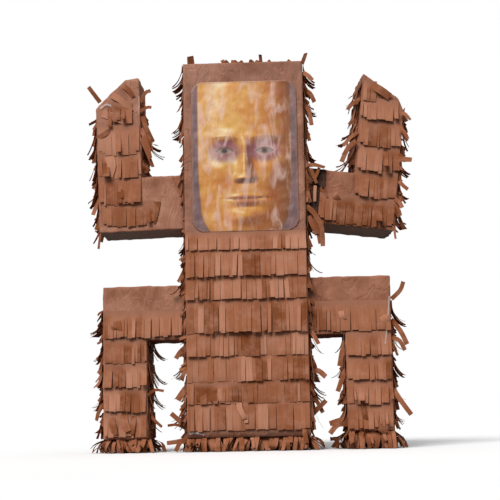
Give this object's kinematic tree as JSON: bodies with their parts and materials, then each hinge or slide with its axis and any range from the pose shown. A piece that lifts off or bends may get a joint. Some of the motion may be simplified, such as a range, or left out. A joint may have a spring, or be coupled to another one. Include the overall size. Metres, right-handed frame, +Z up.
{
  "type": "pinata",
  "caption": "Box-figure pinata in brown crepe fringe: tall body box, raised arms, bent legs, printed mask sheet on the head and a hinged fill flap in the back.",
  "frame": {"origin": "on the floor, at the centre of the flat underside of the body box bottom fringe, mount base_rest", "axes": "+Z up along the body box, +X to the viewer's right, and the printed face looks along -Y"},
  "size_m": [0.5114, 0.1253, 0.6236],
  "materials": {
    "kraft_cardboard": "matte",
    "crepe_fringe": "matte",
    "dark_crepe_fringe": "matte",
    "plain_crepe": "matte",
    "printed_sheet": "gloss",
    "paper_tape": "satin",
    "wood": "matte"
  },
  "bodies": {
    "figure": {"body_back_panel": "kraft_cardboard", "body_bottom_panel": "kraft_cardboard", "body_front_panel": "kraft_cardboard", "body_left_panel": "kraft_cardboard", "body_right_panel": "kraft_cardboard", "body_skirt": "dark_crepe_fringe", "body_top_panel": "kraft_cardboard", "face_print": "printed_sheet", "flap_hinge_tape": "paper_tape", "hanger_doubler": "kraft_cardboard", "hanger_stick": "wood", "head_fringe": "crepe_fringe", "head_wrap": "plain_crepe", "left_arm_back_panel": "kraft_cardboard", "left_arm_cover": "crepe_fringe", "left_arm_front_panel": "kraft_cardboard", "left_arm_inner_panel": "kraft_cardboard", "left_arm_outer_panel": "kraft_cardboard", "left_arm_shoulder_panel": "kraft_cardboard", "left_arm_tip_panel": "kraft_cardboard", "left_arm_under_panel": "kraft_cardboard", "left_leg_back_panel": "kraft_cardboard", "left_leg_cover": "crepe_fringe", "left_leg_foot_tuft": "dark_crepe_fringe", "left_leg_front_panel": "kraft_cardboard", "left_leg_outer_panel": "kraft_cardboard", "left_leg_shin_inner_panel": "kraft_cardboard", "left_leg_sole_panel": "kraft_cardboard", "left_leg_thigh_top_panel": "kraft_cardboard", "left_leg_thigh_under_panel": "kraft_cardboard", "right_arm_back_panel": "kraft_cardboard", "right_arm_cover": "crepe_fringe", "right_arm_front_panel": "kraft_cardboard", "right_arm_inner_panel": "kraft_cardboard", "right_arm_outer_panel": "kraft_cardboard", "right_arm_shoulder_panel": "kraft_cardboard", "right_arm_tip_panel": "kraft_cardboard", "right_arm_under_panel": "kraft_cardboard", "right_leg_back_panel": "kraft_cardboard", "right_leg_cover": "crepe_fringe", "right_leg_foot_tuft": "dark_crepe_fringe", "right_leg_front_panel": "kraft_cardboard", "right_leg_outer_panel": "kraft_cardboard", "right_leg_shin_inner_panel": "kraft_cardboard", "right_leg_sole_panel": "kraft_cardboard", "right_leg_thigh_top_panel": "kraft_cardboard", "right_leg_thigh_under_panel": "kraft_cardboard", "torso_fringe_row_1": "dark_crepe_fringe", "torso_fringe_row_2": "crepe_fringe", "torso_fringe_row_3": "dark_crepe_fringe", "torso_fringe_row_4": "crepe_fringe", "torso_fringe_row_5": "dark_crepe_fringe", "torso_fringe_row_6": "crepe_fringe", "torso_fringe_row_7": "dark_crepe_fringe", "torso_fringe_row_8": "crepe_fringe"},
    "flap": {"fill_flap": "kraft_cardboard", "flap_fringe": "crepe_fringe", "flap_tape_tab": "paper_tape"}
  },
  "joints": [
    {"name": "fill_flap_hinge", "type": "hinge", "parent": "figure", "child": "flap", "pos_m": [0, 0.055, 0.5223], "axis": [1, 0, 0], "range_deg": [0, 105], "deforming": ["flap_hinge_tape"]}
  ]
}
